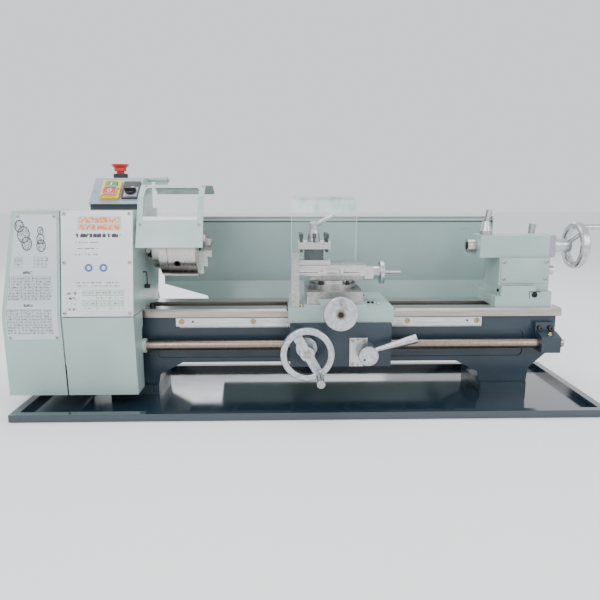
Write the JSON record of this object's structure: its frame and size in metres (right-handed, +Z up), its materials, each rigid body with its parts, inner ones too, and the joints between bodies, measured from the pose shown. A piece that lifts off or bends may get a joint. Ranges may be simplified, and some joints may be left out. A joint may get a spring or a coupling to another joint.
{
  "type": "metal lathe",
  "caption": "Bench-top screw-cutting metal lathe on a chip tray, with a guarded chuck, hinged end cover, geared leadscrew, moving carriage, tool post and tailstock.",
  "frame": {"origin": "centre of the bench-bolt pattern on the underside of the chip tray", "axes": "+X along the bed from headstock to tailstock, +Y away from the operator, +Z up"},
  "size_m": [1.2229, 0.418, 0.481],
  "materials": {
    "pale_paint": "semi-gloss enamel",
    "navy_paint": "semi-gloss enamel",
    "tray_paint": "high-gloss enamel",
    "label_plate": "satin silver print",
    "panel_paint": "satin enamel",
    "ground_steel": "ground",
    "turned_steel": "turned",
    "screw_steel": "oiled",
    "cast_aluminium": "cast, lightly polished",
    "black_oxide": "black oxide",
    "machined_iron": "machined",
    "bronze": "machined",
    "black_plastic": "moulded",
    "red_plastic": "moulded",
    "green_plastic": "moulded",
    "yellow_plastic": "moulded",
    "belt_rubber": "moulded",
    "clear_sheet": "clear polycarbonate"
  },
  "bodies": {
    "root": {"chip_tray": "tray_paint", "bed": "navy_paint", "rack": "ground_steel", "splash_guard": "pale_paint", "headstock_casting": "pale_paint", "front_label_panel": "label_plate", "front_lower_cover": "pale_paint", "end_plate": "pale_paint", "motor": "black_oxide", "drive_belt": "belt_rubber", "control_box": "pale_paint", "control_panel": "panel_paint", "switch_plate": "yellow_plastic", "switch_bezels": "black_plastic", "leadscrew_brackets": "navy_paint"},
    "end_cover": {"end_cover": "pale_paint"},
    "chuck_guard": {"chuck_guard": "pale_paint", "guard_window": "clear_sheet"},
    "spindle": {"spindle": "turned_steel", "spindle_pulley": "machined_iron", "chuck_body": "turned_steel"},
    "scroll": {"chuck_scroll": "machined_iron"},
    "chuck_pinion": {"chuck_pinion": "black_oxide"},
    "jaw_1": {"chuck_jaw_1": "turned_steel"},
    "jaw_2": {"chuck_jaw_2": "turned_steel"},
    "jaw_3": {"chuck_jaw_3": "turned_steel"},
    "idler_gear": {"idler_gear": "machined_iron"},
    "stud_gear": {"stud_gear": "machined_iron"},
    "leadscrew": {"leadscrew": "screw_steel"},
    "motor_rotor": {"motor_pulley": "machined_iron"},
    "estop": {"estop_button": "red_plastic"},
    "start": {"start_button": "green_plastic"},
    "stop": {"stop_button": "red_plastic"},
    "speed_knob": {"speed_knob": "black_plastic"},
    "carriage": {"saddle": "pale_paint", "apron": "navy_paint", "shield_bracket": "pale_paint", "chip_shield": "clear_sheet"},
    "apron_handwheel": {"apron_handwheel": "cast_aluminium"},
    "apron_handle": {"apron_handle": "cast_aluminium"},
    "rack_pinion": {"rack_pinion": "machined_iron"},
    "upper_nut": {"upper_half_nut": "bronze"},
    "lower_nut": {"lower_half_nut": "bronze"},
    "nut_lever": {"half_nut_lever": "cast_aluminium"},
    "cross_slide": {"cross_slide": "machined_iron"},
    "cross_handwheel": {"cross_handwheel": "cast_aluminium"},
    "cross_handle": {"cross_handle": "cast_aluminium"},
    "swivel": {"swivel_base": "machined_iron"},
    "top_slide": {"top_slide": "ground_steel"},
    "top_handwheel": {"top_handwheel": "cast_aluminium"},
    "tool_post": {"tool_post": "ground_steel", "tool_post_bolts": "black_oxide"},
    "post_lever": {"tool_post_lever": "cast_aluminium"},
    "tailstock": {"tailstock_base": "pale_paint", "tailstock_body": "pale_paint"},
    "quill": {"quill": "turned_steel"},
    "tail_handwheel": {"tailstock_handwheel": "cast_aluminium"},
    "tail_handle": {"tailstock_handle": "cast_aluminium"},
    "quill_lock": {"quill_lock_lever": "cast_aluminium"},
    "tail_clamp": {"tailstock_clamp_lever": "cast_aluminium"}
  },
  "joints": [
    {"name": "end_cover_hinge", "type": "hinge", "parent": "root", "child": "end_cover", "pos_m": [-0.504, 0.17, 0.2], "axis": [0, 0, -1], "range_deg": [0, 100]},
    {"name": "chuck_guard_hinge", "type": "hinge", "parent": "root", "child": "chuck_guard", "pos_m": [-0.34, 0.035, 0.449], "axis": [-1, 0, 0], "range_deg": [0, 80]},
    {"name": "spindle_spin", "type": "hinge", "parent": "root", "child": "spindle", "pos_m": [-0.4, 0, 0.309], "axis": [1, 0, 0], "continuous": true},
    {"name": "scroll_spin", "type": "hinge", "parent": "spindle", "child": "scroll", "pos_m": [-0.284, 0, 0.309], "axis": [1, 0, 0], "range_deg": [-240, 1200]},
    {"name": "chuck_pinion_spin", "type": "hinge", "parent": "spindle", "child": "chuck_pinion", "pos_m": [-0.2953, 0, 0.309], "axis": [0, -0.866, -0.5], "range_deg": [-960, 4800]},
    {"name": "jaw_1_slide", "type": "slide", "parent": "spindle", "child": "jaw_1", "axis": [0, 0, -1], "range_m": [-0.0041, 0.0201]},
    {"name": "jaw_2_slide", "type": "slide", "parent": "spindle", "child": "jaw_2", "axis": [0, 0.866, 0.5], "range_m": [-0.0041, 0.0201]},
    {"name": "jaw_3_slide", "type": "slide", "parent": "spindle", "child": "jaw_3", "axis": [0, -0.866, 0.5], "range_m": [-0.0041, 0.0201]},
    {"name": "idler_spin", "type": "hinge", "parent": "root", "child": "idler_gear", "pos_m": [-0.532, 0.02703, 0.2337], "axis": [1, 0, 0], "continuous": true},
    {"name": "stud_spin", "type": "hinge", "parent": "root", "child": "stud_gear", "pos_m": [-0.53, -0.06148, 0.16838], "axis": [1, 0, 0], "continuous": true},
    {"name": "leadscrew_spin", "type": "hinge", "parent": "root", "child": "leadscrew", "pos_m": [0, -0.082, 0.112], "axis": [1, 0, 0], "continuous": true},
    {"name": "motor_spin", "type": "hinge", "parent": "root", "child": "motor_rotor", "pos_m": [-0.57, 0.125, 0.15], "axis": [1, 0, 0], "continuous": true},
    {"name": "estop_press", "type": "slide", "parent": "root", "child": "estop", "axis": [0, 0, -1], "range_m": [0, 0.005], "stiffness_N_per_m": 600, "springref_m": -0.001},
    {"name": "start_press", "type": "slide", "parent": "root", "child": "start", "axis": [0, 0.674, -0.7388], "range_m": [0, 0.003], "stiffness_N_per_m": 300, "springref_m": -0.001},
    {"name": "stop_press", "type": "slide", "parent": "root", "child": "stop", "axis": [0, 0.674, -0.7388], "range_m": [0, 0.003], "stiffness_N_per_m": 300, "springref_m": -0.001},
    {"name": "speed_knob_turn", "type": "hinge", "parent": "root", "child": "speed_knob", "pos_m": [-0.387, -0.03669, 0.42309], "axis": [0, 0.674, -0.7388], "range_deg": [0, 270]},
    {"name": "carriage_handwheel_turn", "type": "hinge", "parent": "carriage", "child": "apron_handwheel", "pos_m": [-0.0315, -0.15, 0.1177], "axis": [0, 1, 0], "range_deg": [-2190, 3050]},
    {"name": "carriage_slide", "type": "slide", "parent": "root", "child": "carriage", "axis": [1, 0, 0], "range_m": [-0.139, 0.194]},
    {"name": "rack_pinion_spin", "type": "hinge", "parent": "carriage", "child": "rack_pinion", "pos_m": [-0.00685, -0.08, 0.1365], "axis": [0, 1, 0], "range_deg": [-1061, 762]},
    {"name": "apron_handle_spin", "type": "hinge", "parent": "apron_handwheel", "child": "apron_handle", "pos_m": [-0.00875, -0.22, 0.0783], "axis": [0, 1, 0], "continuous": true},
    {"name": "half_nut_lever_turn", "type": "hinge", "parent": "carriage", "child": "nut_lever", "pos_m": [0.089, -0.13, 0.107], "axis": [0, 1, 0], "range_deg": [0, 30]},
    {"name": "upper_nut_slide", "type": "slide", "parent": "carriage", "child": "upper_nut", "axis": [0, 0, -1], "range_m": [0, 0.0041]},
    {"name": "lower_nut_slide", "type": "slide", "parent": "carriage", "child": "lower_nut", "axis": [0, 0, 1], "range_m": [0, 0.0041]},
    {"name": "cross_handwheel_turn", "type": "hinge", "parent": "carriage", "child": "cross_handwheel", "pos_m": [0.0335, -0.15, 0.191], "axis": [0, -1, 0], "range_deg": [-15310, 3610]},
    {"name": "cross_slide_travel", "type": "slide", "parent": "carriage", "child": "cross_slide", "axis": [0, -1, 0], "range_m": [-0.085, 0.02]},
    {"name": "cross_handle_spin", "type": "hinge", "parent": "cross_handwheel", "child": "cross_handle", "pos_m": [0.0365, -0.18, 0.212], "axis": [0, 1, 0], "continuous": true},
    {"name": "swivel_turn", "type": "hinge", "parent": "cross_slide", "child": "swivel", "pos_m": [0.028, -0.01, 0.235], "axis": [0, 0, 1], "range_deg": [-45, 45]},
    {"name": "top_handwheel_turn", "type": "hinge", "parent": "top_slide", "child": "top_handwheel", "pos_m": [0.134, -0.01, 0.253], "axis": [1, 0, 0], "range_deg": [-725, 13210]},
    {"name": "top_slide_travel", "type": "slide", "parent": "swivel", "child": "top_slide", "axis": [1, 0, 0], "range_m": [-0.003, 0.055]},
    {"name": "tool_post_turn", "type": "hinge", "parent": "top_slide", "child": "tool_post", "pos_m": [-0.0125, -0.01, 0.3], "axis": [0, 0, 1], "continuous": true},
    {"name": "post_lever_turn", "type": "hinge", "parent": "top_slide", "child": "post_lever", "pos_m": [-0.0125, -0.01, 0.34], "axis": [0, 0, 1], "range_deg": [0, 90]},
    {"name": "tailstock_slide", "type": "slide", "parent": "root", "child": "tailstock", "axis": [1, 0, 0], "range_m": [-0.19, 0.015]},
    {"name": "tail_handwheel_turn", "type": "hinge", "parent": "tailstock", "child": "tail_handwheel", "pos_m": [0.558, 0, 0.309], "axis": [1, 0, 0], "range_deg": [-10080, 0]},
    {"name": "quill_travel", "type": "slide", "parent": "tailstock", "child": "quill", "axis": [1, 0, 0], "range_m": [-0.0701, 0]},
    {"name": "tail_handle_spin", "type": "hinge", "parent": "tail_handwheel", "child": "tail_handle", "pos_m": [0.58, -0.01, 0.349], "axis": [1, 0, 0], "continuous": true},
    {"name": "quill_lock_turn", "type": "hinge", "parent": "tailstock", "child": "quill_lock", "pos_m": [0.36, 0, 0.345], "axis": [0, 0, 1], "range_deg": [0, 60]},
    {"name": "tail_clamp_turn", "type": "hinge", "parent": "tailstock", "child": "tail_clamp", "pos_m": [0.4735, 0.05, 0.242], "axis": [0, -1, 0], "range_deg": [0, 60]}
  ],
  "couplings": [
    {"joint": "chuck_pinion_spin", "follows": "scroll_spin", "ratio": 4},
    {"joint": "jaw_1_slide", "follows": "scroll_spin", "m_per_rad": 0.00095493},
    {"joint": "jaw_2_slide", "follows": "scroll_spin", "m_per_rad": 0.00095493},
    {"joint": "jaw_3_slide", "follows": "scroll_spin", "m_per_rad": 0.00095493},
    {"joint": "idler_spin", "follows": "spindle_spin", "ratio": -0.6},
    {"joint": "stud_spin", "follows": "spindle_spin", "ratio": 0.5},
    {"joint": "leadscrew_spin", "follows": "spindle_spin", "ratio": -0.25},
    {"joint": "motor_spin", "follows": "spindle_spin", "ratio": 2.1111},
    {"joint": "carriage_handwheel_turn", "follows": "carriage_slide", "rad_per_m": 273.81},
    {"joint": "rack_pinion_spin", "follows": "carriage_slide", "rad_per_m": -95.238},
    {"joint": "upper_nut_slide", "follows": "half_nut_lever_turn", "m_per_rad": 0.0076394},
    {"joint": "lower_nut_slide", "follows": "half_nut_lever_turn", "m_per_rad": 0.0076394},
    {"joint": "cross_handwheel_turn", "follows": "cross_slide_travel", "rad_per_m": 3141.6},
    {"joint": "top_handwheel_turn", "follows": "top_slide_travel", "rad_per_m": 4188.8},
    {"joint": "quill_travel", "follows": "tail_handwheel_turn", "m_per_rad": 0.00039789}
  ]
}
